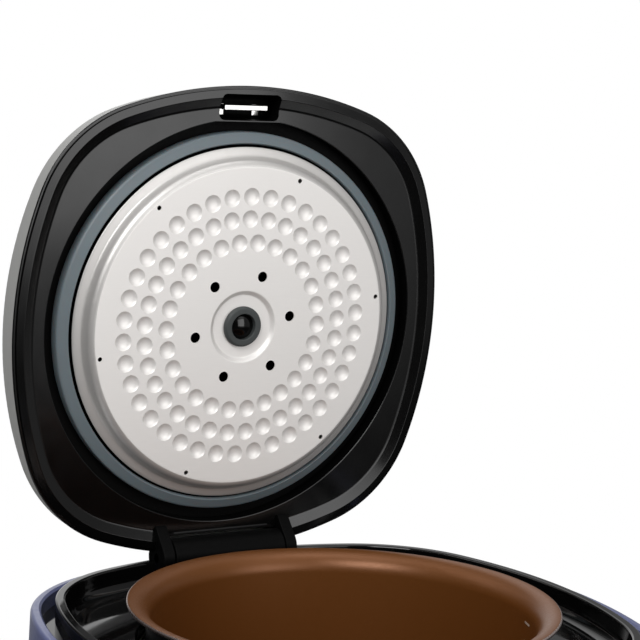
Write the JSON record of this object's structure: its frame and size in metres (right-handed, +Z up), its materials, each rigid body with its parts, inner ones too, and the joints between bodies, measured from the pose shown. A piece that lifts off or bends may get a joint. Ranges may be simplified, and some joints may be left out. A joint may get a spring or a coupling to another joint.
{
  "type": "rice cooker",
  "caption": "Countertop rice cooker with a rounded-square body, a hinged lid standing open to show a dimpled inner plate and gasket, and a lift-out pot with a flared rim.",
  "frame": {"origin": "on the pot's axis, on the surface that the feet stand on", "axes": "+Z up, -Y towards the front with the control panel, +Y towards the lid hinge"},
  "size_m": [0.3288, 0.3541, 0.4749],
  "materials": {
    "body_blue": "satin lacquered moulding",
    "lid_grey": "fine satin moulding",
    "black_gloss": "polished moulding",
    "black_satin": "satin moulding",
    "plate_aluminium": "pressed, satin anodised",
    "gasket_silicone": "moulded silicone",
    "grommet_silicone": "moulded silicone",
    "foot_rubber": "moulded",
    "steel": "plated",
    "spring_steel": "drawn wire",
    "pot_copper": "copper-coloured non-stick coat",
    "cast_aluminium": "as cast",
    "sheet_aluminium": "pressed sheet",
    "brass": "plated pins",
    "board_green": "solder mask",
    "lens": "smoked acrylic",
    "button_grey": "satin moulding"
  },
  "bodies": {
    "body": {"outer_shell": "body_blue", "top_frame": "black_gloss", "hinge_block": "black_satin", "hinge_pin": "steel", "hinge_springs": "spring_steel", "latch_pin": "steel", "latch_spring": "spring_steel", "inner_shell": "sheet_aluminium", "inner_shell_screws": "steel", "heating_plate": "cast_aluminium", "heater_terminals": "steel", "sensor_guide": "sheet_aluminium", "sensor_spring": "spring_steel", "base_cover": "black_satin", "feet": "foot_rubber", "control_panel": "black_gloss", "display_lens": "lens", "control_board": "board_green", "power_board": "board_green", "power_inlet": "black_satin", "inlet_pins": "brass"},
    "lid": {"lid_cover": "lid_grey", "lid_liner": "black_satin", "inner_lid_plate": "plate_aluminium", "lid_gasket": "gasket_silicone", "plate_grommet": "grommet_silicone", "plate_post": "black_gloss", "latch_striker": "steel", "steam_duct": "grommet_silicone"},
    "vent": {"steam_cap": "black_satin", "steam_cap_seal": "gasket_silicone"},
    "pot": {"inner_pot": "pot_copper"},
    "sensor": {"sensor_cup": "sheet_aluminium"},
    "opener": {"open_button": "button_grey"},
    "hook": {"latch_hook": "black_satin"},
    "start": {"start_button": "button_grey"},
    "cancel": {"cancel_button": "button_grey"},
    "menu": {"menu_button": "button_grey"},
    "timer": {"timer_button": "button_grey"}
  },
  "joints": [
    {"name": "lid_hinge", "type": "hinge", "parent": "body", "child": "lid", "pos_m": [0, 0.1424, 0.1895], "axis": [-1, 0, 0], "range_deg": [-86, 0], "stiffness_Nm_per_rad": 0.67, "springref_deg": 25.78},
    {"name": "pot_lift", "type": "slide", "parent": "body", "child": "pot", "axis": [0, 0, 1], "range_m": [0, 0.16]},
    {"name": "steam_cap_lift", "type": "slide", "parent": "lid", "child": "vent", "axis": [0, 0.9976, 0.0698], "range_m": [0, 0.03]},
    {"name": "sensor_press", "type": "slide", "parent": "body", "child": "sensor", "axis": [0, 0, 1], "range_m": [-0.0025, 0], "stiffness_N_per_m": 300, "springref_m": 0.005, "deforming": ["sensor_spring"]},
    {"name": "open_press", "type": "slide", "parent": "body", "child": "opener", "axis": [0, 1, 0], "range_m": [0, 0.0025], "stiffness_N_per_m": 500, "springref_m": -0.003},
    {"name": "hook_turn", "type": "hinge", "parent": "body", "child": "hook", "pos_m": [0, -0.14, 0.165], "axis": [1, 0, 0], "range_deg": [0, 8.5], "deforming": ["latch_spring"]},
    {"name": "start_press", "type": "slide", "parent": "body", "child": "start", "axis": [0, 1, 0], "range_m": [0, 0.0012], "stiffness_N_per_m": 400, "springref_m": -0.002},
    {"name": "cancel_press", "type": "slide", "parent": "body", "child": "cancel", "axis": [0, 1, 0], "range_m": [0, 0.0012], "stiffness_N_per_m": 400, "springref_m": -0.002},
    {"name": "menu_press", "type": "slide", "parent": "body", "child": "menu", "axis": [0, 1, 0], "range_m": [0, 0.0012], "stiffness_N_per_m": 400, "springref_m": -0.002},
    {"name": "timer_press", "type": "slide", "parent": "body", "child": "timer", "axis": [0, 1, 0], "range_m": [0, 0.0012], "stiffness_N_per_m": 400, "springref_m": -0.002}
  ],
  "couplings": [
    {"joint": "hook_turn", "follows": "open_press", "rad_per_m": 58.643}
  ]
}
